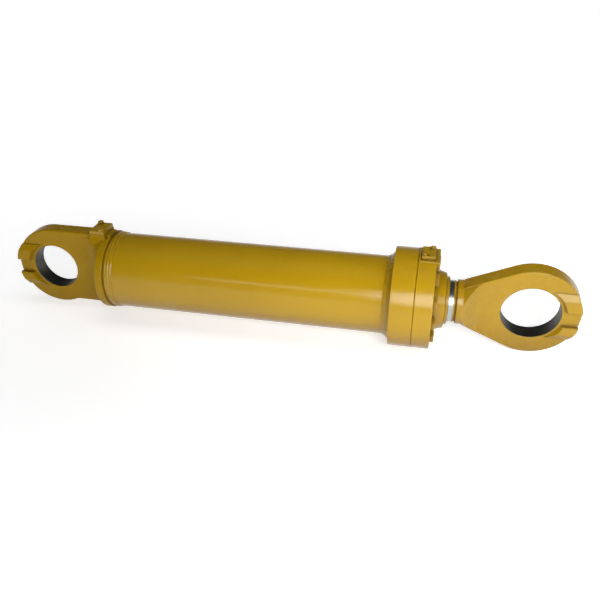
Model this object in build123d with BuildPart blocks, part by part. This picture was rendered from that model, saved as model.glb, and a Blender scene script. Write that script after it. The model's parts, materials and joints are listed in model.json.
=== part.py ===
from build123d import *
import os
from math import cos, radians, sin, sqrt, tan

# Double-acting hydraulic cylinder, fully retracted, lying along +X.
# Origin: centre of the pin bore in the base eye. +Y runs along that bore, +Z is up
# and the two oil ports face it. Millimetres.

os.makedirs("parts", exist_ok=True)

# ---------------------------------------------------------------- driving dimensions
PIN_SPACING = 1323.0        # base pin centre to rod pin centre, retracted
STROKE = 600.0
END_GAP = 10.0              # left between piston and gland when fully extended
ROD_TURN = 4.4              # degrees the rod and its eye stand turned about X at rest

BORE_R = 80.0               # 160 mm cylinder bore
TUBE_R = 105.0              # 210 mm tube
ROD_R = 55.0                # 110 mm rod
HEAD_R = 132.7              # collar and gland flange

SLIDE_GAP = 0.1             # radial running clearance of rings and seals
STATIC_GAP = 0.1            # clearance between pieces of one body

# base cap: eye, web, disc and spigot
BASE_BORE_R = 65.0
BASE_EYE_R = 114.0
BASE_EYE_T = 47.0
BASE_FLANK_LOW = 103.0      # depth of the lower flank below the axis
DISC_X0 = 162.0
DISC_X1 = 185.0
DISC_R = 110.0
SPIGOT_X1 = 205.0
BASE_FLARE_R = 62.0         # concave run-out from the eye's faces to the disc
BASE_EYE_ROUND = 5.0        # rounding of the eye's outline
DISC_ROUND = 3.5
BORE_CHAMFER = 1.5

# rod eye
ROD_BORE_R = 75.0
ROD_EYE_R = 123.5
ROD_EYE_T = 45.0
FLANK_ANGLE = 24.3          # degrees between the rod eye's flanks and the axis
NECK_R = 58.5
NECK_X0 = 1135.0
ROD_RAMP_X0 = 1147.0        # the neck's cheeks slope in from here
ROD_RAMP_X1 = 1190.0        # to the eye's flat faces here
ROD_RAMP_R = 24.0           # rounding at both ends of the slope
ROD_RAMP_END = 1208.0
ROD_EYE_ROUND = 2.5
ROD_BORE_CHAMFER = 0.5

# guard lugs on the near face of each eye
LUG_H = 11.0
LUG_RAMP = 18.0             # length of the ramp at a lug's far end
LUG_STEP = 2.5              # height left at the far end of the ramp
LUG_EDGE = 2.5              # chamfer along the slot
LUG_DRAFT = 28.0            # degrees the wall facing the bore leans back
BASE_LUG_R = 74.0           # foot of that wall
ROD_LUG_R = 82.0
BASE_LUGS = ((16.0, 66.0), (-23.0, -64.0))
ROD_LUGS = ((16.0, 70.0), (-28.0, -70.0))

# base weld between cap and tube
WELD_X0 = 187.0
WELD_X1 = 211.0
WELD_ROOT_X0 = 197.5
WELD_ROOT_X1 = 199.0
WELD_ROOT_R = 84.0
WELD_CROWN = 2.6
GROOVE_R = 105.0            # floor of the groove between disc and weld

# tube end, collar and gland
COLLAR_X0 = 968.4
SOCKET_X = 990.0            # the tube ends here, inside the collar
SEAM_X = 1029.4             # collar meets gland flange
FLANGE_X1 = 1076.2
SPIGOT_X0 = 950.0
BOSS_R0 = 82.0
BOSS_R1 = 73.0
BOSS_X1 = 1105.5
LIP_R = 63.5
LIP_X0 = 1108.5
LIP_X1 = 1114.5
EDGE = 1.5                  # small machined chamfer
COLLAR_WELD_L = 20.0
COLLAR_WELD_H = 13.0
COLLAR_WELD_ARC_R = 44.0    # hollow face of the fillet weld
GLAND_BORE_R = ROD_R + 0.6
STATIC_GROOVE = (1009.0, 1018.0)
STATIC_GROOVE_DEPTH = 4.6

# grooves in the gland's bore: start, end and depth beyond the rod's surface
WEAR_GROOVES = ((962.0, 982.0, 2.5), (1034.0, 1049.0, 2.5))
BUFFER_GROOVE = (992.0, 999.0, 6.0)
CUP_GROOVE = (1072.0, 1084.0, 7.5)
WIPER_GROOVE = (1102.0, LIP_X1, 5.0)
WIPER_LIP = 1.0
WIPER_BODY = 0.33           # the wiper's body starts this far up the groove's depth
CUP_LIP = 0.25              # thickness of each lip of the cup, of the groove's depth
CUP_V = 0.6                 # depth of the cup's V, of the groove's depth
BACKUP_W = 3.0
ROD_GROOVES = (*WEAR_GROOVES, BUFFER_GROOVE, CUP_GROOVE, WIPER_GROOVE)

# gland bolts: ten M20 bolts, with a wider gap at the top for the port
BOLT_COUNT = 10
BOLT_CIRCLE_R = 102.0
BOLT_GAP = 64.0             # degrees left open for the port block
BOLT_R = 10.0
BOLT_HEAD_AF = 30.0
BOLT_HEAD_H = 10.0
BOLT_TIP_X = 1001.0
BOLT_HOLE_GAP = 1.0         # all round in the gland's flange
TAP_RUN_OUT = 3.0           # tapped holes go this much deeper than their bolts
CROWN_RATIO = 0.47          # radius of a bolt head's flat crown, of its width across flats
CROWN_TAPER = 60.0          # degrees, from the bolt's axis

# oil ports: four-bolt flange faces, each closed by a cover plate with two bolts
BASE_PORT_X = 149.0
BASE_PORT_TOP = 118.0
BASE_PORT_SPACING = (22.2, 47.6)
BASE_BLOCK_L = 45.0
BASE_BLOCK_W = 64.0
BASE_SKIRT_Z1 = 111.0       # below this the block's sides spread
BASE_SKIRT_Z0 = 84.0
BASE_SKIRT_DRAFT = 30.0     # degrees
BASE_SKIRT_R = 8.0          # hollow where the spread begins
BASE_HEEL_R = 22.0          # rounded lower corner of the block, over the eye
BASE_PORT_R = 9.5
BASE_WAY_Z = 50.0           # height of the oil way's run along the cylinder
BASE_WAY_DEPTH = 78.0
BASE_WAY_R = 8.0
HEAD_PORT_X = 1054.0
HEAD_PORT_TOP = 128.5
HEAD_PORT_SPACING = (18.2, 40.5)
HEAD_PORT_R = 6.5
HEAD_BLOCK_W = 82.0
HEAD_FLAT_X0 = 1035.0       # a strip of the flange's rim is left beside the milled flat
HEAD_NOSE_X1 = 1083.5
HEAD_NOSE_Z0 = 99.0
HEAD_WAY_Z = 69.0
HEAD_WAY_R = 4.5
BLOCK_ROUND = 3.0
BLOCK_EDGE = 1.0
COVER_T = 9.0
COVER_ROUND = 2.5
COVER_EDGE = 0.8
COVER_HOLE_DEPTH = 18.0
BASE_COVER_SIZE = (43.0, 62.0)
HEAD_COVER_SIZE = (35.0, 60.0)
BASE_COVER_BOLT = (5.0, 16.0, 6.4)      # shank radius, width across flats, head height
HEAD_COVER_BOLT = (4.0, 13.0, 5.3)
BASE_SEAL_R = 15.5
HEAD_SEAL_R = 11.5
SEAL_SECTION_R = 1.4

# piston
ROD_END_X = 210.0
NUT_X0 = 214.0
PISTON_X0 = 250.0
PISTON_X1 = SPIGOT_X0 - STROKE - END_GAP
PISTON_R = 79.5
JOURNAL_R = 40.0
THREAD_R = 36.0
NUT_AF = 105.0
ROD_SEAL_X0 = 300.0
ROD_SEAL_X1 = 304.0
ROD_SEAL_DEPTH = 3.0
ROD_X1 = 1127.0             # the rod's own end, where its weld to the eye starts
ROD_WELD_X1 = 1131.0
PILOT_R = 30.0
GROOVE_ROD_R = 52.5         # floor of the groove between the weld and the eye's neck
ROD_WELD_CROWN = 0.3

# piston grooves: start, end and floor radius
PISTON_WEAR_GROOVES = ((258.0, 278.0, 77.0), (312.0, 332.0, 77.0))
PISTON_SEAL_GROOVE = (288.0, 302.0, 72.0)
PISTON_SEAL_R = 76.4        # inside of the sliding seal, outside of its energizer
RING_PLAY = 0.3             # all round between the piston and its rings
ENERGIZER_PLAY = 1.2        # at each end of the energizer


# ---------------------------------------------------------------- shared shapes
def ring(x0, x1, r_in, r_out):
    """A plain ring about the cylinder's axis."""
    with BuildPart() as made:
        with BuildSketch(Plane.YZ.offset(x0)):
            Circle(r_out)
            Circle(r_in, mode=Mode.SUBTRACT)
        extrude(amount=x1 - x0)
    return made.part


def round_ring(x, r_mid, section_r):
    """An O-ring about the cylinder's axis."""
    with BuildPart() as made:
        with BuildSketch(Plane.XZ):
            with Locations((x, r_mid)):
                Circle(section_r)
        revolve(axis=Axis.X)
    return made.part


def guard_lugs(eye_r, inner_r, face_y, spans):
    """Two raised lugs beside a slot at the outer end of an eye, on its near face.

    The eye is centred on the origin and its outer end points along +X. Each span is
    the lug's height range (slot side first); a ramp runs down to its far end.
    """
    with BuildPart() as outline:
        with BuildSketch(Plane.XZ.offset(face_y)):
            Circle(eye_r)
            with Locations((-eye_r, 0)):
                Rectangle(2 * eye_r, 2 * eye_r, mode=Mode.SUBTRACT)
        extrude(amount=LUG_H)
        with BuildSketch(Plane.XZ.offset(face_y)):
            Circle(inner_r)
        extrude(amount=LUG_H, taper=-LUG_DRAFT, mode=Mode.SUBTRACT)
    with BuildPart() as profile:
        for slot_z, far_z in spans:
            away = 1 if far_z > slot_z else -1
            with BuildSketch(Plane.YZ):
                with BuildLine():
                    Polyline(
                        (-face_y, slot_z),
                        (-face_y - LUG_H + LUG_EDGE, slot_z),
                        (-face_y - LUG_H, slot_z + away * LUG_EDGE),
                        (-face_y - LUG_H, far_z - away * LUG_RAMP),
                        (-face_y - LUG_STEP, far_z - away),
                        (-face_y, far_z),
                        close=True,
                    )
                make_face()
            extrude(amount=eye_r)
    return outline.part & profile.part


def hollow_cheeks(wide_x, face_y, flare_r):
    """Outline, seen from above, of a root whose cheeks leave the eye's faces in a quarter circle.

    wide_x is where the hollow leaves the flat faces; it grows towards +X.
    """
    far_x = wide_x + 2 * flare_r
    top_y = face_y + flare_r
    with BuildSketch() as outline:
        for hand in (1, -1):
            with BuildLine():
                arc = CenterArc((wide_x, hand * top_y), flare_r, -hand * 90, hand * 90)
                Polyline(arc @ 1, (far_x, hand * top_y), (far_x, 0), (wide_x, 0), arc @ 0)
            make_face()
    return outline.sketch


def sloping_cheeks(x0, x1, x2, neck_y, face_y, round_r):
    """Outline, seen from above, of a root whose cheeks slope in from x0 to the eye's faces at x1."""
    with BuildSketch() as outline:
        with BuildLine():
            Polyline(
                (x0 - neck_y, neck_y),
                (x0, neck_y),
                (x1, face_y),
                (x2, face_y),
                (x2, -face_y),
                (x1, -face_y),
                (x0, -neck_y),
                (x0 - neck_y, -neck_y),
                close=True,
            )
        make_face()
        bends = [v for v in outline.vertices() if x0 - 1 < v.X < x1 + 1]
        fillet(bends, round_r)
    return outline.sketch


def trimmed_root(revolved, outline):
    """A round root cut down to an outline seen from above."""
    with BuildPart() as cutter:
        with BuildSketch(Plane.XY.offset(-2 * HEAD_R)):
            add(outline)
        extrude(amount=4 * HEAD_R)
    return revolved & cutter.part


def rims_of(made, radius):
    """The round edges of one radius."""
    return made.edges().filter_by(GeomType.CIRCLE).filter_by(lambda e: abs(e.radius - radius) < 0.01)


def hex_bolt(seat_point, axis_dir, shank_r, flats, head_h, length):
    """A hex-head bolt whose head sits on a face through seat_point, facing axis_dir."""
    seat = Plane(origin=seat_point, z_dir=axis_dir)
    with BuildPart() as bolt:
        with BuildSketch(seat):
            Circle(CROWN_RATIO * flats + head_h * tan(radians(CROWN_TAPER)))
        extrude(amount=head_h, taper=CROWN_TAPER)
        with BuildSketch(seat):
            RegularPolygon(flats / 2, 6, major_radius=False)
        extrude(amount=head_h, mode=Mode.INTERSECT)
        with BuildSketch(seat):
            Circle(shank_r)
        extrude(amount=-length)
    return bolt.part


# ---------------------------------------------------------------- base cap
with BuildPart() as base_slab:
    with BuildSketch(Plane.XZ):
        Circle(BASE_EYE_R)
        with BuildLine():
            Polyline(
                (0, 0),
                (0, BASE_EYE_R),
                (DISC_X1, BASE_EYE_R),
                (DISC_X1, -BASE_FLANK_LOW),
                (sqrt(BASE_EYE_R**2 - BASE_FLANK_LOW**2), -BASE_FLANK_LOW),
                close=True,
            )
        make_face()
    extrude(amount=BASE_EYE_T / 2, both=True)
    fillet(base_slab.faces().filter_by(Axis.Y).edges(), BASE_EYE_ROUND)

with BuildPart() as base_root_bar:
    with BuildSketch(Plane.YZ.offset(DISC_X0 - BASE_FLARE_R)):
        Circle(BASE_FLANK_LOW)
    extrude(amount=BASE_FLARE_R)

# port block, standing on the slab's upper flank and the disc, with sides that spread below
with BuildPart() as base_block:
    for plane_z, height, draft in (
        (BASE_PORT_TOP, BASE_PORT_TOP - BASE_SKIRT_Z1, 0),
        (BASE_SKIRT_Z1, BASE_SKIRT_Z1 - BASE_SKIRT_Z0, -BASE_SKIRT_DRAFT),
    ):
        with BuildSketch(Plane(origin=(BASE_PORT_X, 0, plane_z), x_dir=(1, 0, 0), z_dir=(0, 0, -1))):
            RectangleRounded(BASE_BLOCK_L, BASE_BLOCK_W, BLOCK_ROUND)
        extrude(amount=height, taper=draft)
    fillet(base_block.edges().filter_by_position(Axis.Z, BASE_SKIRT_Z1, BASE_SKIRT_Z1), BASE_SKIRT_R)
    chamfer(base_block.faces().sort_by(Axis.Z)[-1].edges(), BLOCK_EDGE)
    heel_x = BASE_PORT_X - BASE_BLOCK_L / 2
    heel_z = BASE_SKIRT_Z0 + BASE_HEEL_R
    with BuildSketch(Plane.XZ):
        with BuildLine():
            Polyline(
                (heel_x, heel_z),
                (heel_x, BASE_PORT_TOP),
                (DISC_X1 + DISC_R, BASE_PORT_TOP),
                (DISC_X1 + DISC_R, BASE_SKIRT_Z0),
                (heel_x + BASE_HEEL_R, BASE_SKIRT_Z0),
            )
            RadiusArc((heel_x + BASE_HEEL_R, BASE_SKIRT_Z0), (heel_x, heel_z), BASE_HEEL_R)
        make_face()
    extrude(amount=DISC_R, both=True, mode=Mode.INTERSECT)

base_lugs = guard_lugs(BASE_EYE_R, BASE_LUG_R, BASE_EYE_T / 2, BASE_LUGS).mirror(Plane.YZ)
base_root = trimmed_root(
    base_root_bar.part,
    hollow_cheeks(DISC_X0 - BASE_FLARE_R, BASE_EYE_T / 2, BASE_FLARE_R),
)

with BuildPart() as base_cap:
    # disc, weld groove and spigot
    with BuildSketch(Plane.XZ):
        with BuildLine():
            Polyline(
                (DISC_X0, 0),
                (DISC_X0, DISC_R),
                (DISC_X1, DISC_R),
                (DISC_X1, GROOVE_R),
                (WELD_X0, GROOVE_R),
                (WELD_ROOT_X0, WELD_ROOT_R),
                (WELD_ROOT_X0, BORE_R - STATIC_GAP),
                (SPIGOT_X1, BORE_R - STATIC_GAP),
                (SPIGOT_X1, 0),
                close=True,
            )
        make_face()
    revolve(axis=Axis.X)
    fillet(rims_of(base_cap, DISC_R), DISC_ROUND)
    add(base_block.part)
    add(base_slab.part)
    add(base_root)
    add(base_lugs)
    # pin bore with lead-in chamfers
    with BuildSketch(Plane.XZ):
        Circle(BASE_BORE_R)
    extrude(amount=BASE_EYE_T, both=True, mode=Mode.SUBTRACT)
    chamfer(rims_of(base_cap, BASE_BORE_R), BORE_CHAMFER)
    # oil way: down from the port, then along to the bore of the tube
    with BuildSketch(Plane.XY.offset(BASE_PORT_TOP)):
        with Locations((BASE_PORT_X, 0)):
            Circle(BASE_PORT_R)
    extrude(amount=-BASE_WAY_DEPTH, mode=Mode.SUBTRACT)
    with BuildSketch(Plane.YZ.offset(SPIGOT_X1)):
        with Locations((0, BASE_WAY_Z)):
            Circle(BASE_WAY_R)
    extrude(amount=-(SPIGOT_X1 - BASE_PORT_X), mode=Mode.SUBTRACT)
    # the port's four tapped holes
    with BuildSketch(Plane.XY.offset(BASE_PORT_TOP)):
        with Locations((BASE_PORT_X, 0)):
            with GridLocations(*BASE_PORT_SPACING, 2, 2):
                Circle(BASE_COVER_BOLT[0] + STATIC_GAP)
    extrude(amount=-COVER_HOLE_DEPTH, mode=Mode.SUBTRACT)
base_cap.part.label = "base_cap"
export_step(base_cap.part, "parts/base_cap.step")

# ---------------------------------------------------------------- base weld
with BuildPart() as base_weld:
    with BuildSketch(Plane.XZ):
        with BuildLine():
            Polyline(
                (WELD_X1, TUBE_R),
                (WELD_ROOT_X1, WELD_ROOT_R),
                (WELD_ROOT_X0, WELD_ROOT_R),
                (WELD_X0, GROOVE_R),
            )
            ThreePointArc(
                (WELD_X0, GROOVE_R),
                ((WELD_X0 + WELD_X1) / 2, TUBE_R + WELD_CROWN),
                (WELD_X1, TUBE_R),
            )
        make_face()
    revolve(axis=Axis.X)
base_weld.part.label = "base_weld"
export_step(base_weld.part, "parts/base_weld.step")

# ---------------------------------------------------------------- barrel tube
with BuildPart() as barrel_tube:
    with BuildSketch(Plane.XZ):
        with BuildLine():
            Polyline(
                (WELD_ROOT_X1, BORE_R),
                (WELD_ROOT_X1, WELD_ROOT_R),
                (WELD_X1, TUBE_R),
                (SOCKET_X, TUBE_R),
                (SOCKET_X, BORE_R),
                close=True,
            )
        make_face()
    revolve(axis=Axis.X)
barrel_tube.part.label = "barrel_tube"
export_step(barrel_tube.part, "parts/barrel_tube.step")

# ---------------------------------------------------------------- collar on the tube
bolt_step = (360.0 - BOLT_GAP) / (BOLT_COUNT - 1)
bolt_angles = [90 + BOLT_GAP / 2 + i * bolt_step for i in range(BOLT_COUNT)]
bolt_spots = [(BOLT_CIRCLE_R * cos(radians(a)), BOLT_CIRCLE_R * sin(radians(a))) for a in bolt_angles]

with BuildPart() as tube_collar:
    with BuildSketch(Plane.XZ):
        with BuildLine():
            Polyline(
                (COLLAR_X0, TUBE_R),
                (COLLAR_X0, HEAD_R - EDGE),
                (COLLAR_X0 + EDGE, HEAD_R),
                (SEAM_X - EDGE, HEAD_R),
                (SEAM_X, HEAD_R - EDGE),
                (SEAM_X, BORE_R),
                (SOCKET_X, BORE_R),
                (SOCKET_X, TUBE_R),
                close=True,
            )
        make_face()
    revolve(axis=Axis.X)
    with BuildSketch(Plane.YZ.offset(SEAM_X)):
        with Locations(bolt_spots):
            Circle(BOLT_R + STATIC_GAP)
    extrude(amount=-(SEAM_X - BOLT_TIP_X + TAP_RUN_OUT), mode=Mode.SUBTRACT)
tube_collar.part.label = "tube_collar"
export_step(tube_collar.part, "parts/tube_collar.step")

# ---------------------------------------------------------------- collar weld
with BuildPart() as collar_weld:
    with BuildSketch(Plane.XZ):
        with BuildLine():
            Polyline(
                (COLLAR_X0 - COLLAR_WELD_L, TUBE_R),
                (COLLAR_X0, TUBE_R),
                (COLLAR_X0, TUBE_R + COLLAR_WELD_H),
            )
            RadiusArc(
                (COLLAR_X0, TUBE_R + COLLAR_WELD_H),
                (COLLAR_X0 - COLLAR_WELD_L, TUBE_R),
                COLLAR_WELD_ARC_R,
            )
        make_face()
    revolve(axis=Axis.X)
collar_weld.part.label = "collar_weld"
export_step(collar_weld.part, "parts/collar_weld.step")

# ---------------------------------------------------------------- head gland
head_block_mid = (SEAM_X + HEAD_NOSE_X1) / 2

with BuildPart() as head_block:
    with BuildSketch(Plane.XY.offset(HEAD_NOSE_Z0)):
        with Locations((head_block_mid, 0)):
            Rectangle(HEAD_NOSE_X1 - SEAM_X, HEAD_BLOCK_W)
    extrude(amount=HEAD_PORT_TOP - HEAD_NOSE_Z0)
    front = head_block.faces().sort_by(Axis.X)[-1]
    fillet(front.edges().filter_by(Axis.Z), BLOCK_ROUND)
    chamfer(head_block.faces().sort_by(Axis.X)[-1].edges().filter_by(Axis.Y), BLOCK_EDGE)

with BuildPart() as head_gland:
    with BuildSketch(Plane.XZ):
        with BuildLine():
            Polyline(
                (SPIGOT_X0, GLAND_BORE_R),
                (SPIGOT_X0, BORE_R - STATIC_GAP - EDGE),
                (SPIGOT_X0 + EDGE, BORE_R - STATIC_GAP),
                (SEAM_X, BORE_R - STATIC_GAP),
                (SEAM_X, HEAD_R - EDGE),
                (SEAM_X + EDGE, HEAD_R),
                (FLANGE_X1 - EDGE, HEAD_R),
                (FLANGE_X1, HEAD_R - EDGE),
                (FLANGE_X1, BOSS_R0),
                (BOSS_X1, BOSS_R1),
                (LIP_X0, LIP_R),
                (LIP_X1 - EDGE, LIP_R),
                (LIP_X1, LIP_R - EDGE),
                (LIP_X1, GLAND_BORE_R),
                close=True,
            )
        make_face()
    revolve(axis=Axis.X)
    # port block: a milled flat on the flange and a nose that carries it past the flange's face
    add(head_block.part)
    with BuildSketch(Plane.XY.offset(HEAD_PORT_TOP)):
        with Locations(((HEAD_FLAT_X0 + HEAD_NOSE_X1) / 2, 0)):
            Rectangle(HEAD_NOSE_X1 - HEAD_FLAT_X0, HEAD_BLOCK_W)
    extrude(amount=HEAD_R - HEAD_PORT_TOP, mode=Mode.SUBTRACT)
    # grooves for the rod's rings and seals
    for x0, x1, depth in ROD_GROOVES:
        with BuildSketch(Plane.YZ.offset(x0)):
            Circle(ROD_R + depth)
        extrude(amount=x1 - x0, mode=Mode.SUBTRACT)
    # groove for the static seal in the spigot
    with BuildSketch(Plane.YZ.offset(STATIC_GROOVE[0])):
        Circle(BORE_R)
        Circle(BORE_R - STATIC_GROOVE_DEPTH, mode=Mode.SUBTRACT)
    extrude(amount=STATIC_GROOVE[1] - STATIC_GROOVE[0], mode=Mode.SUBTRACT)
    # clearance holes for the gland bolts
    with BuildSketch(Plane.YZ.offset(SEAM_X)):
        with Locations(bolt_spots):
            Circle(BOLT_R + BOLT_HOLE_GAP)
    extrude(amount=FLANGE_X1 - SEAM_X, mode=Mode.SUBTRACT)
    # oil way: down from the port, then along to the rod side of the bore
    with BuildSketch(Plane.XY.offset(HEAD_PORT_TOP)):
        with Locations((HEAD_PORT_X, 0)):
            Circle(HEAD_PORT_R)
    extrude(amount=-(HEAD_PORT_TOP - HEAD_WAY_Z), mode=Mode.SUBTRACT)
    with BuildSketch(Plane.YZ.offset(SPIGOT_X0)):
        with Locations((0, HEAD_WAY_Z)):
            Circle(HEAD_WAY_R)
    extrude(amount=HEAD_PORT_X - SPIGOT_X0, mode=Mode.SUBTRACT)
    # the port's four tapped holes
    with BuildSketch(Plane.XY.offset(HEAD_PORT_TOP)):
        with Locations((HEAD_PORT_X, 0)):
            with GridLocations(*HEAD_PORT_SPACING, 2, 2):
                Circle(HEAD_COVER_BOLT[0] + STATIC_GAP)
    extrude(amount=-COVER_HOLE_DEPTH, mode=Mode.SUBTRACT)
head_gland.part.label = "head_gland"
export_step(head_gland.part, "parts/head_gland.step")

# ---------------------------------------------------------------- gland bolts
with BuildPart() as head_bolts:
    for y, z in bolt_spots:
        add(hex_bolt((FLANGE_X1, y, z), (1, 0, 0), BOLT_R, BOLT_HEAD_AF, BOLT_HEAD_H, FLANGE_X1 - BOLT_TIP_X))
head_bolts.part.label = "head_bolts"
export_step(head_bolts.part, "parts/head_bolts.step")

# ---------------------------------------------------------------- static seal of the gland
with BuildPart() as head_o_ring:
    add(round_ring(STATIC_GROOVE[0] + STATIC_GROOVE_DEPTH / 2, BORE_R - STATIC_GROOVE_DEPTH / 2,
                   STATIC_GROOVE_DEPTH / 2))
head_o_ring.part.label = "head_o_ring"
export_step(head_o_ring.part, "parts/head_o_ring.step")

with BuildPart() as head_backup_ring:
    add(ring(STATIC_GROOVE[1] - BACKUP_W, STATIC_GROOVE[1],
             BORE_R - STATIC_GROOVE_DEPTH, BORE_R - STATIC_GAP / 2))
head_backup_ring.part.label = "head_backup_ring"
export_step(head_backup_ring.part, "parts/head_backup_ring.step")

# ---------------------------------------------------------------- rod rings and seals
rod_running_r = ROD_R + SLIDE_GAP

with BuildPart() as rod_wear_rings:
    for x0, x1, depth in WEAR_GROOVES:
        add(ring(x0, x1, rod_running_r, ROD_R + depth))
rod_wear_rings.part.label = "rod_wear_rings"
export_step(rod_wear_rings.part, "parts/rod_wear_rings.step")

with BuildPart() as rod_buffer_seal:
    x0, x1, depth = BUFFER_GROOVE
    add(ring(x0, x1, rod_running_r, ROD_R + depth))
rod_buffer_seal.part.label = "rod_buffer_seal"
export_step(rod_buffer_seal.part, "parts/rod_buffer_seal.step")

# the cup opens towards the pressure side
with BuildPart() as rod_u_cup:
    x0, x1, depth = CUP_GROOVE
    with BuildSketch(Plane.XZ):
        with BuildLine():
            Polyline(
                (x0, rod_running_r),
                (x1, rod_running_r),
                (x1, ROD_R + depth),
                (x0, ROD_R + depth),
                (x0, ROD_R + (1 - CUP_LIP) * depth),
                (x0 + CUP_V * depth, ROD_R + depth / 2),
                (x0, ROD_R + CUP_LIP * depth),
                close=True,
            )
        make_face()
    revolve(axis=Axis.X)
rod_u_cup.part.label = "rod_u_cup"
export_step(rod_u_cup.part, "parts/rod_u_cup.step")

# the wiper's lip looks outwards and stands just proud of the gland
with BuildPart() as rod_wiper:
    x0, x1, depth = WIPER_GROOVE
    with BuildSketch(Plane.XZ):
        with BuildLine():
            Polyline(
                (x0, ROD_R + WIPER_BODY * depth),
                (x0, ROD_R + depth),
                (x1, ROD_R + depth),
                (x1 + WIPER_LIP, ROD_R + WIPER_BODY * depth),
                (x1 + WIPER_LIP, rod_running_r),
                (x1 - WIPER_LIP, rod_running_r),
                (x1 - depth, ROD_R + WIPER_BODY * depth),
                close=True,
            )
        make_face()
    revolve(axis=Axis.X)
rod_wiper.part.label = "rod_wiper"
export_step(rod_wiper.part, "parts/rod_wiper.step")


# ---------------------------------------------------------------- port covers
def cover_spots(x, spacing, diagonal):
    """The two bolt places of a port cover, on one diagonal of the four tapped holes."""
    dx = spacing[0] / 2
    dy = diagonal * spacing[1] / 2
    return [(x + dx, dy), (x - dx, -dy)]


def port_cover(x, z, size, spots, bolt_r, seal_r):
    """A cover plate with two bolt holes and a seal groove beneath."""
    with BuildPart() as plate:
        with BuildSketch(Plane.XY.offset(z)):
            with Locations((x, 0)):
                RectangleRounded(*size, COVER_ROUND)
            with Locations(spots):
                Circle(bolt_r + STATIC_GAP, mode=Mode.SUBTRACT)
        extrude(amount=COVER_T)
        chamfer(plate.faces().sort_by(Axis.Z)[-1].outer_wire().edges(), COVER_EDGE)
        with BuildSketch(Plane.XY.offset(z)):
            with Locations((x, 0)):
                Circle(seal_r + SEAL_SECTION_R)
                Circle(seal_r - SEAL_SECTION_R, mode=Mode.SUBTRACT)
        extrude(amount=2 * SEAL_SECTION_R, mode=Mode.SUBTRACT)
    return plate.part


def cover_bolts(z, spots, bolt_r, flats, head_h):
    """The two bolts of a port cover."""
    length = COVER_T + COVER_HOLE_DEPTH - TAP_RUN_OUT
    with BuildPart() as pair:
        for x, y in spots:
            add(hex_bolt((x, y, z + COVER_T), (0, 0, 1), bolt_r, flats, head_h, length))
    return pair.part


def face_seal(x, z, seal_r):
    """The O-ring in a cover's groove."""
    with BuildPart() as seal:
        with BuildSketch(Plane(origin=(x, 0, z + SEAL_SECTION_R), x_dir=(1, 0, 0), z_dir=(0, -1, 0))):
            with Locations((seal_r, 0)):
                Circle(SEAL_SECTION_R)
        revolve(axis=Axis((x, 0, 0), (0, 0, 1)))
    return seal.part


base_spots = cover_spots(BASE_PORT_X, BASE_PORT_SPACING, -1)
head_spots = cover_spots(HEAD_PORT_X, HEAD_PORT_SPACING, 1)

with BuildPart() as base_port_cover:
    add(port_cover(BASE_PORT_X, BASE_PORT_TOP, BASE_COVER_SIZE, base_spots, BASE_COVER_BOLT[0], BASE_SEAL_R))
base_port_cover.part.label = "base_port_cover"
export_step(base_port_cover.part, "parts/base_port_cover.step")

with BuildPart() as base_port_bolts:
    add(cover_bolts(BASE_PORT_TOP, base_spots, *BASE_COVER_BOLT))
base_port_bolts.part.label = "base_port_bolts"
export_step(base_port_bolts.part, "parts/base_port_bolts.step")

with BuildPart() as base_port_o_ring:
    add(face_seal(BASE_PORT_X, BASE_PORT_TOP, BASE_SEAL_R))
base_port_o_ring.part.label = "base_port_o_ring"
export_step(base_port_o_ring.part, "parts/base_port_o_ring.step")

with BuildPart() as head_port_cover:
    add(port_cover(HEAD_PORT_X, HEAD_PORT_TOP, HEAD_COVER_SIZE, head_spots, HEAD_COVER_BOLT[0], HEAD_SEAL_R))
head_port_cover.part.label = "head_port_cover"
export_step(head_port_cover.part, "parts/head_port_cover.step")

with BuildPart() as head_port_bolts:
    add(cover_bolts(HEAD_PORT_TOP, head_spots, *HEAD_COVER_BOLT))
head_port_bolts.part.label = "head_port_bolts"
export_step(head_port_bolts.part, "parts/head_port_bolts.step")

with BuildPart() as head_port_o_ring:
    add(face_seal(HEAD_PORT_X, HEAD_PORT_TOP, HEAD_SEAL_R))
head_port_o_ring.part.label = "head_port_o_ring"
export_step(head_port_o_ring.part, "parts/head_port_o_ring.step")

# ---------------------------------------------------------------- piston rod
with BuildPart() as piston_rod:
    with BuildSketch(Plane.XZ):
        with BuildLine():
            Polyline(
                (ROD_END_X, 0),
                (ROD_END_X, THREAD_R - EDGE),
                (ROD_END_X + EDGE, THREAD_R),
                (PISTON_X0, THREAD_R),
                (PISTON_X0, JOURNAL_R),
                (ROD_SEAL_X0, JOURNAL_R),
                (ROD_SEAL_X0, JOURNAL_R - ROD_SEAL_DEPTH),
                (ROD_SEAL_X1, JOURNAL_R - ROD_SEAL_DEPTH),
                (ROD_SEAL_X1, JOURNAL_R),
                (PISTON_X1, JOURNAL_R),
                (PISTON_X1, ROD_R - EDGE),
                (PISTON_X1 + EDGE, ROD_R),
                (ROD_X1, ROD_R),
                (ROD_X1, PILOT_R),
                (ROD_WELD_X1, PILOT_R),
                (ROD_WELD_X1, 0),
                close=True,
            )
        make_face()
    revolve(axis=Axis.X)
piston_rod.part.label = "piston_rod"
export_step(piston_rod.part, "parts/piston_rod.step")

with BuildPart() as rod_weld:
    add(ring(ROD_X1, ROD_WELD_X1, PILOT_R, ROD_R + ROD_WELD_CROWN))
rod_weld.part.label = "rod_weld"
export_step(rod_weld.part, "parts/rod_weld.step")

# ---------------------------------------------------------------- rod eye
flank = radians(FLANK_ANGLE)


def flank_z(x):
    """Height of the rod eye's flank above the axis, at a distance x from the eye's centre."""
    return (ROD_EYE_R - x * sin(flank)) / cos(flank)


neck_meet_x = PIN_SPACING - (ROD_EYE_R - NECK_R * cos(flank)) / sin(flank)

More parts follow.
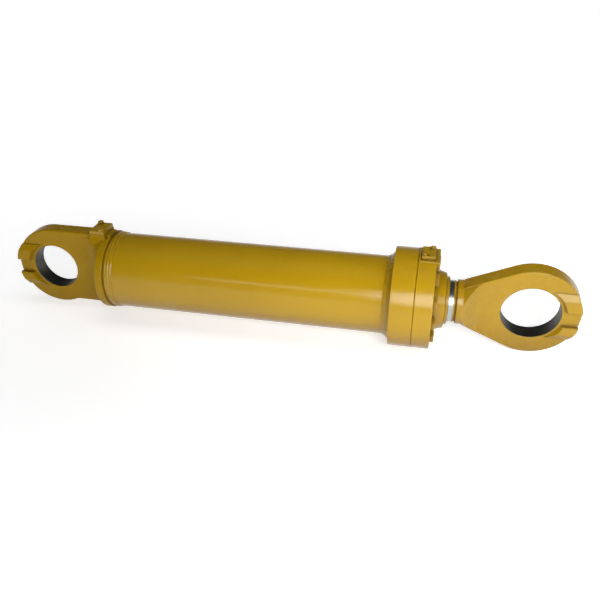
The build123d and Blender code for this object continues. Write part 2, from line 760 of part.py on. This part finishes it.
with BuildPart() as rod_slab:
    with BuildSketch(Plane.XZ):
        with Locations((PIN_SPACING, 0)):
            Circle(ROD_EYE_R)
        with BuildLine():
            tip_x = PIN_SPACING - ROD_EYE_R * sin(flank)
            tip_z = ROD_EYE_R * cos(flank)
            root_z = flank_z(PIN_SPACING - neck_meet_x)
            Polyline(
                (tip_x, tip_z),
                (neck_meet_x, root_z),
                (neck_meet_x, -root_z),
                (tip_x, -tip_z),
                close=True,
            )
        make_face()
    extrude(amount=ROD_EYE_T / 2, both=True)
    fillet(rod_slab.faces().filter_by(Axis.Y).edges().filter_by(GeomType.CIRCLE), ROD_EYE_ROUND)

with BuildPart() as neck_bar:
    with BuildSketch(Plane.XZ):
        with BuildLine():
            Polyline(
                (NECK_X0, 0),
                (NECK_X0, NECK_R - EDGE),
                (NECK_X0 + EDGE, NECK_R),
                (neck_meet_x, NECK_R),
                (ROD_RAMP_END, flank_z(PIN_SPACING - ROD_RAMP_END)),
                (ROD_RAMP_END, 0),
                close=True,
            )
        make_face()
    revolve(axis=Axis.X)

rod_neck = trimmed_root(
    neck_bar.part,
    sloping_cheeks(ROD_RAMP_X0, ROD_RAMP_X1, ROD_RAMP_END, NECK_R + EDGE, ROD_EYE_T / 2, ROD_RAMP_R),
)
rod_lugs = guard_lugs(ROD_EYE_R, ROD_LUG_R, ROD_EYE_T / 2, ROD_LUGS).moved(Location((PIN_SPACING, 0, 0)))

with BuildPart() as straight_eye:
    add(rod_slab.part)
    add(rod_neck)
    add(rod_lugs)
    with BuildSketch(Plane.YZ.offset(ROD_WELD_X1)):
        Circle(GROOVE_ROD_R)
    extrude(amount=NECK_X0 - ROD_WELD_X1)
    with BuildSketch(Plane.XZ):
        with Locations((PIN_SPACING, 0)):
            Circle(ROD_BORE_R)
    extrude(amount=ROD_EYE_T, both=True, mode=Mode.SUBTRACT)
    chamfer(rims_of(straight_eye, ROD_BORE_R), ROD_BORE_CHAMFER)

with BuildPart() as rod_eye:
    add(straight_eye.part, rotation=(ROD_TURN, 0, 0))
rod_eye.part.label = "rod_eye"
export_step(rod_eye.part, "parts/rod_eye.step")

# ---------------------------------------------------------------- piston
with BuildPart() as piston:
    with BuildSketch(Plane.XZ):
        with BuildLine():
            Polyline(
                (PISTON_X0, JOURNAL_R),
                (PISTON_X0, PISTON_R - 2 * EDGE),
                (PISTON_X0 + 2 * EDGE, PISTON_R),
                (PISTON_X1 - 2 * EDGE, PISTON_R),
                (PISTON_X1, PISTON_R - 2 * EDGE),
                (PISTON_X1, JOURNAL_R),
                close=True,
            )
        make_face()
    revolve(axis=Axis.X)
    for x0, x1, floor_r in (*PISTON_WEAR_GROOVES, PISTON_SEAL_GROOVE):
        with BuildSketch(Plane.YZ.offset(x0)):
            Circle(BORE_R)
            Circle(floor_r, mode=Mode.SUBTRACT)
        extrude(amount=x1 - x0, mode=Mode.SUBTRACT)
piston.part.label = "piston"
export_step(piston.part, "parts/piston.step")

with BuildPart() as piston_nut:
    with BuildSketch(Plane.YZ.offset(NUT_X0)):
        RegularPolygon(NUT_AF / 2, 6, major_radius=False)
        Circle(THREAD_R, mode=Mode.SUBTRACT)
    extrude(amount=PISTON_X0 - NUT_X0)
piston_nut.part.label = "piston_nut"
export_step(piston_nut.part, "parts/piston_nut.step")

with BuildPart() as piston_o_ring:
    add(round_ring((ROD_SEAL_X0 + ROD_SEAL_X1) / 2, JOURNAL_R - ROD_SEAL_DEPTH / 2, ROD_SEAL_DEPTH / 2))
piston_o_ring.part.label = "piston_o_ring"
export_step(piston_o_ring.part, "parts/piston_o_ring.step")

# rings that run in the tube, loose in the piston's grooves
ring_r = BORE_R - SLIDE_GAP

with BuildPart() as piston_wear_rings:
    for x0, x1, floor_r in PISTON_WEAR_GROOVES:
        add(ring(x0 + RING_PLAY, x1 - RING_PLAY, floor_r + RING_PLAY, ring_r))
piston_wear_rings.part.label = "piston_wear_rings"
export_step(piston_wear_rings.part, "parts/piston_wear_rings.step")

x0, x1, floor_r = PISTON_SEAL_GROOVE
with BuildPart() as piston_seal:
    add(ring(x0 + RING_PLAY, x1 - RING_PLAY, PISTON_SEAL_R, ring_r))
piston_seal.part.label = "piston_seal"
export_step(piston_seal.part, "parts/piston_seal.step")

with BuildPart() as piston_energizer:
    add(ring(x0 + ENERGIZER_PLAY, x1 - ENERGIZER_PLAY, floor_r + RING_PLAY, PISTON_SEAL_R))
piston_energizer.part.label = "piston_energizer"
export_step(piston_energizer.part, "parts/piston_energizer.step")
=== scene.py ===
import json
import math
import random

import bmesh
import bpy
from mathutils import Matrix, Vector


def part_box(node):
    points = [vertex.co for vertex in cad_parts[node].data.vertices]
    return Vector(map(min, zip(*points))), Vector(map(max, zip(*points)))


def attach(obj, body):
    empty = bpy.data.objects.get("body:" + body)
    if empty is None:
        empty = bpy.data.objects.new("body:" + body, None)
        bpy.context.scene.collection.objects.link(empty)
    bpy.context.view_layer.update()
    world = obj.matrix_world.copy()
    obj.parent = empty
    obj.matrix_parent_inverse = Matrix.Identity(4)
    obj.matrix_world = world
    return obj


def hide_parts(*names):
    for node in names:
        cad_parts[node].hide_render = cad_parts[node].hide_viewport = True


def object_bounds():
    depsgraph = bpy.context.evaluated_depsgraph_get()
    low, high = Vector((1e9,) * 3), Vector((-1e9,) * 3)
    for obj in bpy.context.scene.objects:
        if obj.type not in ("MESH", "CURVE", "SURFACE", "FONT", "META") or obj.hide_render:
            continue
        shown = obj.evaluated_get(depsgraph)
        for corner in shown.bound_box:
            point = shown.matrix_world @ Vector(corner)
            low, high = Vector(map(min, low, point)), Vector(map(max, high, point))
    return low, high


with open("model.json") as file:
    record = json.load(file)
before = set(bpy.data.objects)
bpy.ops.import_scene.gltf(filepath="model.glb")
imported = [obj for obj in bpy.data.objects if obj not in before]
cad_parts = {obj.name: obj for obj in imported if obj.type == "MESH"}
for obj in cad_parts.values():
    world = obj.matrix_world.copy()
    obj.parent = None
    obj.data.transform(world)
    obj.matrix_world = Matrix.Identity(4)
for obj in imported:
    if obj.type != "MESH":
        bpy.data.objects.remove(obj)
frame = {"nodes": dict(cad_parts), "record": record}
cad_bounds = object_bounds()
nodes = frame["nodes"]
mounts = {mount["name"]: mount for mount in frame["record"]["mounts"]}
BARREL = "barrel"
ROD = "rod"
TAU = 2 * math.pi


# ------------------------------------------------------------------ camera
CAMERA_AT = Vector((1.0563, -1.5948, 0.9162))
CAMERA_AIM = Vector((0.7156, 0.0020, -0.0555))
CAMERA_ROLL = math.radians(-0.4)
CAMERA_LENS = 40.55                 # mm on a 36 mm sensor


def make_camera():
    data = bpy.data.cameras.new("camera")
    data.lens = CAMERA_LENS
    data.sensor_width = 36.0
    data.clip_start = 0.05
    data.clip_end = 60.0
    camera = bpy.data.objects.new("camera", data)
    bpy.context.scene.collection.objects.link(camera)
    aim = (CAMERA_AIM - CAMERA_AT).to_track_quat("-Z", "Y")
    camera.rotation_mode = "QUATERNION"
    camera.rotation_quaternion = aim @ Matrix.Rotation(CAMERA_ROLL, 3, "Z").to_quaternion()
    camera.location = CAMERA_AT
    bpy.context.scene.camera = camera


# ------------------------------------------------------------------ node helpers
def shader(name):
    """A new material, its node tree and its Principled node."""
    material = bpy.data.materials.new(name)
    material.use_nodes = True
    tree = material.node_tree
    return material, tree, tree.nodes["Principled BSDF"]


def put(tree, kind, values=None, **settings):
    """Adds a node. settings are its properties and values its input sockets, by name or number."""
    node = tree.nodes.new(kind)
    for key, value in settings.items():
        setattr(node, key, value)
    for key, value in (values or {}).items():
        if isinstance(value, bpy.types.NodeSocket):
            tree.links.new(value, node.inputs[key])
        else:
            node.inputs[key].default_value = value
    return node


def object_point(tree):
    return put(tree, "ShaderNodeTexCoord").outputs["Object"]


def noise(tree, point, scale, detail=3.0, roughness=0.55):
    """A noise factor, 0 to 1, with features about 1/scale metres apart."""
    values = {"Vector": point, "Scale": scale, "Detail": detail, "Roughness": roughness}
    return put(tree, "ShaderNodeTexNoise", values).outputs["Fac"]


def spread(tree, factor, low, high, out_low=0.0, out_high=1.0):
    """Maps factor from low..high to out_low..out_high, clamped."""
    values = {"Value": factor, "From Min": low, "From Max": high, "To Min": out_low, "To Max": out_high}
    return put(tree, "ShaderNodeMapRange", values).outputs["Result"]


def calc(tree, operation, first, second=0.0):
    return put(tree, "ShaderNodeMath", {0: first, 1: second}, operation=operation).outputs[0]


def stretch(tree, point, scale):
    """The point with each axis scaled on its own, for streaks and turning marks."""
    return put(tree, "ShaderNodeVectorMath", {0: point, 1: scale}, operation="MULTIPLY").outputs[0]


def blend_colors(tree, factor, first, second, blend_type="MIX"):
    node = put(tree, "ShaderNodeMix", data_type="RGBA", blend_type=blend_type)
    for socket, value in zip((node.inputs[0], node.inputs[6], node.inputs[7]), (factor, first, second)):
        if isinstance(value, bpy.types.NodeSocket):
            tree.links.new(value, socket)
        else:
            socket.default_value = value
    return node.outputs[2]


def bump(tree, height, distance, normal=None, strength=1.0):
    values = {"Height": height, "Distance": distance, "Strength": strength}
    if normal is not None:
        values["Normal"] = normal
    return put(tree, "ShaderNodeBump", values).outputs["Normal"]


def crevice(tree, distance):
    """1 in the open, falling towards 0 in corners and gaps."""
    return put(tree, "ShaderNodeAmbientOcclusion", {"Distance": distance}, samples=6).outputs["AO"]


def rounded_normal(tree, radius):
    return put(tree, "ShaderNodeBevel", {"Radius": radius}, samples=4).outputs["Normal"]


def axis_distance(tree, point, centre, axis):
    """How far a point is from the line through centre along axis, in metres."""
    away = put(tree, "ShaderNodeVectorMath", {0: point, 1: centre}, operation="SUBTRACT").outputs[0]
    across = put(tree, "ShaderNodeVectorMath", {0: away, 1: axis}, operation="CROSS_PRODUCT").outputs[0]
    return put(tree, "ShaderNodeVectorMath", {0: across}, operation="LENGTH").outputs["Value"]


# ------------------------------------------------------------------ materials
MM = 0.001
PAINT = (0.405, 0.240, 0.003, 1.0)
PAINT_DEEP = (0.372, 0.216, 0.002, 1.0)
PAINT_THIN = (0.450, 0.268, 0.006, 1.0)
PAINT_SHADE = (0.205, 0.112, 0.001, 1.0)
CORNER_SHADE_COLOR = (0.085, 0.040, 0.004, 1.0)
RUBBER = (0.020, 0.020, 0.020, 1.0)
RUBBER_WORN = (0.050, 0.050, 0.050, 1.0)
URETHANE = (0.055, 0.050, 0.045, 1.0)
URETHANE_WORN = (0.10, 0.09, 0.08, 1.0)
RESIN = (0.28, 0.18, 0.10, 1.0)
RESIN_WORN = (0.36, 0.25, 0.16, 1.0)
PTFE = (0.10, 0.12, 0.11, 1.0)
PTFE_WORN = (0.17, 0.19, 0.18, 1.0)
BORE_STEEL = (0.125, 0.122, 0.105, 1.0)
PISTON_STEEL = (0.42, 0.42, 0.43, 1.0)
NUT_STEEL = (0.20, 0.20, 0.21, 1.0)
CHROME = (0.42, 0.45, 0.46, 1.0)
CHROME_OILY = (0.36, 0.38, 0.36, 1.0)

SATIN = (0.22, 0.32)                # lowest and highest roughness of a coat
FORGING_GLOSS = (0.16, 0.23)
TUBE_GLOSS = (0.14, 0.20)
WELD_GLOSS = (0.13, 0.20)

# noise scales, in features per metre
CLOUDS = 4.0
WAVES = 14.0
GLOSS_PATCHES = 18.0
CORNER_SHADE_PATCHES = 45.0
MOTTLE = 70.0
SKIN = 110.0
ORANGE_PEEL = 520.0

SHADE_REACH = 140 * MM              # how far a surface looks for others that shade it
CORNER_SHADE_REACH = 12 * MM                # and for the close corners that get painted shade
WAVE_HEIGHT = 0.4 * MM
PEEL_HEIGHT = 0.05 * MM
PAINT_OVERLAP = 1.1 * MM            # the coat starts this far out from a bore's wall
PAINT_RAGGED = 0.6 * MM


def paint_layers(tree, surface, grain, edge_radius, gloss=SATIN, specular=0.42, painted_shade=0.0):
    """Sets one Principled node up as sprayed enamel: mottled, a little wavy, darker in its corners.

    grain is the height in metres of the steel's own skin under the paint. gloss is its lowest and
    highest roughness. The last argument, 0 to 1, darkens the whole coat towards its shaded colour;
    this and the darkening in its corners are painted shade.
    """
    point = object_point(tree)
    clouds = spread(tree, noise(tree, point, CLOUDS, 4.0), 0.34, 0.68)
    color = blend_colors(tree, clouds, PAINT_DEEP, PAINT)
    mottle = spread(tree, noise(tree, point, MOTTLE, 4.0), 0.40, 0.66)
    color = blend_colors(tree, calc(tree, "MULTIPLY", mottle, 0.12), color, PAINT_THIN)
    # painted shade: the coat darkens towards PAINT_SHADE near other surfaces, and everywhere by the amount
    # given
    shade = spread(tree, crevice(tree, SHADE_REACH), 0.94, 0.50, painted_shade, 0.95)
    color = blend_colors(tree, shade, color, PAINT_SHADE)
    # painted shade: close corners darken towards a dark brown, in patches; the same mask also makes the coat
    # rougher there
    corner_shade = spread(tree, crevice(tree, CORNER_SHADE_REACH), 0.80, 0.45)
    patches = spread(tree, noise(tree, point, CORNER_SHADE_PATCHES), 0.25, 0.55, 0.5, 1.0)
    corner_shade = calc(tree, "MULTIPLY", corner_shade, patches)
    color = blend_colors(tree, calc(tree, "MULTIPLY", corner_shade, 0.85), color, CORNER_SHADE_COLOR)
    tree.links.new(color, surface.inputs["Base Color"])

    roughness = spread(tree, noise(tree, point, GLOSS_PATCHES, 5.0), 0.30, 0.70, *gloss)
    roughness = calc(tree, "ADD", roughness, calc(tree, "MULTIPLY", corner_shade, 0.35))
    tree.links.new(roughness, surface.inputs["Roughness"])

    normal = rounded_normal(tree, edge_radius)
    normal = bump(tree, noise(tree, point, WAVES, 2.0), WAVE_HEIGHT, normal)
    normal = bump(tree, noise(tree, point, SKIN, 3.0), grain, normal)
    normal = bump(tree, noise(tree, point, ORANGE_PEEL, 1.0), PEEL_HEIGHT, normal)
    tree.links.new(normal, surface.inputs["Normal"])
    surface.inputs["Specular IOR Level"].default_value = specular
    surface.inputs["Coat Weight"].default_value = 0.05
    surface.inputs["Coat Roughness"].default_value = 0.15


def make_paint(name, grain=0.2 * MM, edge_radius=1.2 * MM, gloss=SATIN, painted_shade=0.0):
    material, tree, surface = shader(name)
    paint_layers(tree, surface, grain, edge_radius, gloss, painted_shade=painted_shade)
    return material


def machined_layers(tree, surface, color, roughness, grooves):
    """Sets one Principled node up as cut steel. grooves has the marks per metre along each axis."""
    point = object_point(tree)
    marks = noise(tree, stretch(tree, point, grooves), 1.0, 4.0, 0.7)
    stain = spread(tree, noise(tree, point, 35.0, 4.0), 0.35, 0.70)
    darker = tuple(0.55 * c for c in color[:3]) + (1.0,)
    tree.links.new(blend_colors(tree, stain, color, darker), surface.inputs["Base Color"])
    rough = spread(tree, marks, 0.3, 0.7, roughness - 0.08, roughness + 0.10)
    tree.links.new(rough, surface.inputs["Roughness"])
    tree.links.new(bump(tree, marks, 0.04 * MM), surface.inputs["Normal"])
    surface.inputs["Metallic"].default_value = 1.0


def make_bored_paint(name, mount, specular, painted_shade):
    """Paint everywhere but in the mount's bore, which is bare steel with turning marks round it."""
    material, tree, surface = shader(name)
    paint_layers(tree, surface, 0.3 * MM, 2.8 * MM, specular=specular, painted_shade=painted_shade)
    steel = put(tree, "ShaderNodeBsdfPrincipled")
    machined_layers(tree, steel, BORE_STEEL, 0.50, (60.0, 900.0, 60.0))
    point = object_point(tree)
    distance = axis_distance(tree, point, mount["pos_m"], mount["axis"])
    ragged = calc(tree, "ADD", distance, calc(tree, "MULTIPLY", noise(tree, point, 150.0), PAINT_RAGGED))
    edge = mount["dims"]["r_mm"] * MM + PAINT_OVERLAP
    painted = calc(tree, "GREATER_THAN", ragged, edge)
    mix = put(tree, "ShaderNodeMixShader", {0: painted, 1: steel.outputs[0], 2: surface.outputs[0]})
    tree.links.new(mix.outputs[0], tree.nodes["Material Output"].inputs["Surface"])
    return material


def make_machined(name, color, roughness, grooves=(700.0, 20.0, 20.0)):
    material, tree, surface = shader(name)
    machined_layers(tree, surface, color, roughness, grooves)
    return material


def make_chrome(name):
    """Ground hard chrome: bright, with faint polishing rings and a thin smear of oil."""
    material, tree, surface = shader(name)
    point = object_point(tree)
    rings = noise(tree, stretch(tree, point, (1500.0, 8.0, 8.0)), 1.0, 3.0, 0.6)
    smear = spread(tree, noise(tree, stretch(tree, point, (30.0, 60.0, 60.0)), 1.0, 4.0), 0.45, 0.75)
    rough = calc(tree, "ADD", spread(tree, rings, 0.3, 0.7, 0.25, 0.31), calc(tree, "MULTIPLY", smear, 0.05))
    color = blend_colors(tree, smear, CHROME, CHROME_OILY)
    tree.links.new(color, surface.inputs["Base Color"])
    tree.links.new(rough, surface.inputs["Roughness"])
    tree.links.new(bump(tree, rings, 0.002 * MM), surface.inputs["Normal"])
    surface.inputs["Metallic"].default_value = 1.0
    return material


def make_polymer(name, color, worn, roughness):
    """Moulded rubber or plastic with a fine grain and paler rubbed patches."""
    material, tree, surface = shader(name)
    point = object_point(tree)
    rub = spread(tree, noise(tree, point, 60.0, 5.0), 0.45, 0.75)
    tree.links.new(blend_colors(tree, rub, color, worn), surface.inputs["Base Color"])
    grain = noise(tree, point, 900.0, 2.0)
    tree.links.new(spread(tree, grain, 0.3, 0.7, roughness - 0.06, roughness + 0.08),
                   surface.inputs["Roughness"])
    tree.links.new(bump(tree, grain, 0.03 * MM), surface.inputs["Normal"])
    return material


def dress(names, material):
    """Gives CAD nodes one better material."""
    for name in names:
        data = nodes[name].data
        data.materials.clear()
        data.materials.append(material)


# ------------------------------------------------------------------ welds
WELD_TURNS = 1350                   # outlines round a weld
WELD_SCALES = 150                   # scales round one pass
def ring_mesh(name, profile_at, turns, body, replaced, material):
    """A closed ring about the X axis.

    profile_at(angle) gives its (x, r) outline, with the same number of points all round.
    """
    mesh = bmesh.new()
    rows = []
    for i in range(turns):
        angle = TAU * i / turns
        side, up = math.cos(angle), math.sin(angle)
        rows.append([mesh.verts.new((x, r * side, r * up)) for x, r in profile_at(angle)])
    for i, row in enumerate(rows):
        following = rows[(i + 1) % turns]
        for j, vert in enumerate(row):
            k = (j + 1) % len(row)
            mesh.faces.new((vert, row[k], following[k], following[j]))
    bmesh.ops.recalc_face_normals(mesh, faces=mesh.faces)
    data = bpy.data.meshes.new(name)
    mesh.to_mesh(data)
    mesh.free()
    data.shade_smooth()
    data.materials.append(material)
    piece = bpy.data.objects.new(name, data)
    bpy.context.scene.collection.objects.link(piece)
    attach(piece, body)
    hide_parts(replaced)
    return piece


def wander(seed, waves, size):
    """A smooth random function of an angle that closes on itself."""
    source = random.Random(seed)
    terms = [(n, source.uniform(-1, 1), source.uniform(0, TAU)) for n in waves]
    return lambda angle: size * sum(a * math.sin(n * angle + phase) for n, a, phase in terms)


def make_base_weld(material):
    """Three cap passes side by side, each laid in scales."""
    low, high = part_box("base_weld")
    x0, x1 = low.x, high.x
    crown = high.z
    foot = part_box("barrel_tube")[1].z
    groove = foot - 0.5 * MM
    floor = foot - 8 * MM
    inset = 4 * MM                  # the hidden underside is this much narrower at each end
    bead = 1.1 * MM                 # height of one pass
    scale_step = 0.35 * MM
    passes = 3
    across = 42
    drift = wander(11, (2, 3, 5, 9), 0.3 * MM)
    swell = wander(12, (3, 7, 13, 29), 0.12 * MM)
    shares = [wander(20 + n, (2, 5, 11), 0.05) for n in range(passes)]

    def profile(angle):
        outline = [(x0 + inset, floor), (x1 - inset, floor)]
        for j in range(across + 1):
            t = 1 - j / across
            lane = min(int(t * passes), passes - 1)
            within = t * passes - lane
            arch = math.sin(math.pi * within)
            scale = (WELD_SCALES * angle / TAU + 0.35 * (2 * within - 1) ** 2 + 0.37 * lane) % 1.0
            base = groove + (foot - groove) * t
            dome = (crown - 1.2 * MM - foot) * math.sin(math.pi * min(1, 0.06 + t)) if t < 0.94 else 0.0
            height = base + dome + bead * arch * (1 + shares[lane](angle))
            height += scale_step * arch * (1 - scale) + swell(angle) * arch
            outline.append((x0 + (x1 - x0) * t + drift(angle) * math.sin(math.pi * t), height))
        return outline

    return ring_mesh("base_weld_bead", profile, WELD_TURNS, BARREL, "base_weld", material)


def make_collar_weld(material):
    """A hollow fillet of two passes between tube and collar, softened by paint."""
    low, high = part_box("collar_weld")
    x0, x1 = low.x, high.x
    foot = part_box("barrel_tube")[1].z
    top = high.z
    across = 28
    drift = wander(31, (2, 3, 7), 0.4 * MM)
    swell = wander(32, (3, 8, 15, 31), 0.12 * MM)

    def profile(angle):
        outline = [(x0, foot - 2 * MM), (x1 + 0.5 * MM, foot - 2 * MM)]
        for j in range(across + 1):
            t = 1 - j / across
            within = (2 * t) % 1.0 if t < 1 else 1.0
            arch = math.sin(math.pi * within) * math.sin(math.pi * t)
            scale = (WELD_SCALES * angle / TAU + 0.3 * (2 * within - 1) ** 2) % 1.0
            height = foot + (top - foot) * t ** 1.6
            height += arch * (0.9 * MM + 0.3 * MM * (1 - scale) + swell(angle))
            outline.append((x0 + (x1 - x0) * t + drift(angle) * (1 - t), height))
        return outline

    return ring_mesh("collar_weld_bead", profile, WELD_TURNS, BARREL, "collar_weld", material)


# ------------------------------------------------------------------ stage and light
FLOOR_HALF = 14.0
FLOOR_DROP = 0.5 * MM               # left between the object and the floor
FLOOR_COLOR = (0.80, 0.80, 0.80, 1.0)
WHITE = (1.0, 1.0, 1.0, 1.0)
SKY_COLOR = (0.94, 0.96, 1.0, 1.0)


def make_floor():
    """A pale floor that glows a little, more so farther out, so that it stays even to its horizon."""
    z = cad_bounds[0].z - FLOOR_DROP
    mesh = bmesh.new()
    centre = (cad_bounds[0] + cad_bounds[1]) / 2
    for a, b in ((-1, -1), (1, -1), (1, 1), (-1, 1)):
        mesh.verts.new((centre.x + a * FLOOR_HALF, centre.y + b * FLOOR_HALF, z))
    mesh.faces.new(mesh.verts)
    data = bpy.data.meshes.new("floor")
    mesh.to_mesh(data)
    mesh.free()
    floor = bpy.data.objects.new("floor", data)
    bpy.context.scene.collection.objects.link(floor)
    material, tree, surface = shader("floor")
    surface.inputs["Base Color"].default_value = FLOOR_COLOR
    surface.inputs["Roughness"].default_value = 0.9
    surface.inputs["Specular IOR Level"].default_value = 0.1
    surface.inputs["Emission Color"].default_value = WHITE
    point = object_point(tree)
    away = put(tree, "ShaderNodeVectorMath", {0: point, 1: centre}, operation="DISTANCE").outputs["Value"]
    tree.links.new(spread(tree, away, 0.5, 2.4, 0.53, 0.95), surface.inputs["Emission Strength"])
    data.materials.append(material)


def area_light(name, at, aim, size, power, spread_angle=180.0):
    """A soft rectangular light. spread_angle in degrees narrows its beam."""
    data = bpy.data.lights.new(name, "AREA")
    data.shape = "RECTANGLE"
    data.size, data.size_y = size
    data.energy = power
    data.spread = math.radians(spread_angle)
    light = bpy.data.objects.new(name, data)
    bpy.context.scene.collection.objects.link(light)
    light.location = at
    light.rotation_mode = "QUATERNION"
    light.rotation_quaternion = (Vector(aim) - Vector(at)).to_track_quat("-Z", "Y")
    return light


def make_light():
    area_light("key_softbox", at=(1.8, -2.3, 1.05), aim=(1.4, 0.0, 0.0), size=(2.1, 1.3), power=14.5,
               spread_angle=90.0)
    area_light("strip_light", at=(0.35, -2.45, 1.05), aim=(0.6, 0.0, 0.0), size=(1.5, 0.18), power=3.0)
    area_light("head_spot", at=(1.75, -2.1, 1.45), aim=(1.13, 0.0, 0.0), size=(0.5, 0.5), power=1.3,
               spread_angle=40.0)
    top = area_light("top_softbox", at=(0.75, -0.2, 2.2), aim=(0.75, 0.0, 0.0), size=(2.6, 1.2), power=16.0)
    fill = area_light("back_fill", at=(0.6, 2.3, 0.9), aim=(0.66, 0.0, 0.0), size=(2.6, 1.2), power=10.0)
    for light in (top, fill):
        light.visible_glossy = False


def make_sky():
    """Pale at the horizon and dim above, so that the object's top stays dark."""
    world = bpy.data.worlds.new("studio")
    bpy.context.scene.world = world
    world.use_nodes = True
    tree = world.node_tree
    background = tree.nodes["Background"]
    background.inputs["Color"].default_value = SKY_COLOR
    toward = put(tree, "ShaderNodeTexCoord").outputs["Generated"]
    height = put(tree, "ShaderNodeSeparateXYZ", {0: toward}).outputs["Z"]
    tree.links.new(spread(tree, height, 0.0, 0.35, 0.55, 0.06), background.inputs["Strength"])


# ------------------------------------------------------------------ putting it together
make_camera()
make_floor()
make_light()
make_sky()
bpy.context.scene.view_settings.view_transform = "Standard"

forged_paint = make_paint("forging_enamel", edge_radius=1.6 * MM, gloss=FORGING_GLOSS)
rubber = make_polymer("nitrile", RUBBER, RUBBER_WORN, 0.55)
urethane = make_polymer("polyurethane", URETHANE, URETHANE_WORN, 0.40)
resin = make_polymer("bearing_resin", RESIN, RESIN_WORN, 0.60)
ptfe = make_polymer("filled_ptfe", PTFE, PTFE_WORN, 0.45)

dress(["barrel_tube"], make_paint("tube_enamel", grain=0.05 * MM, gloss=TUBE_GLOSS))
# painted shade: both eyes' coats are darkened overall, the base eye's the most
dress(["base_cap"], make_bored_paint("base_eye_enamel", mounts["base_eye_bore"], specular=0.12, painted_shade=0.30))
dress(["rod_eye"], make_bored_paint("rod_eye_enamel", mounts["rod_eye_bore"], specular=0.42, painted_shade=0.14))
dress(["tube_collar", "head_gland", "rod_weld", "base_port_cover", "head_port_cover"], forged_paint)
dress(["head_bolts", "base_port_bolts", "head_port_bolts"],
      make_paint("bolt_enamel", grain=0.3 * MM, edge_radius=0.8 * MM))
dress(["piston_rod"], make_chrome("hard_chrome"))
dress(["piston"], make_machined("piston_steel", PISTON_STEEL, 0.35))
dress(["piston_nut"], make_machined("nut_steel", NUT_STEEL, 0.45, (120.0, 120.0, 120.0)))
dress(["head_o_ring", "piston_o_ring", "piston_energizer", "base_port_o_ring", "head_port_o_ring"], rubber)
dress(["rod_u_cup", "rod_buffer_seal", "rod_wiper"], urethane)
dress(["rod_wear_rings", "piston_wear_rings"], resin)
dress(["piston_seal", "head_backup_ring"], ptfe)

make_base_weld(make_paint("base_weld_enamel", grain=0.3 * MM, gloss=WELD_GLOSS))
# painted shade: the collar weld's coat is darkened overall
make_collar_weld(make_paint("collar_weld_enamel", grain=0.3 * MM, painted_shade=0.45))
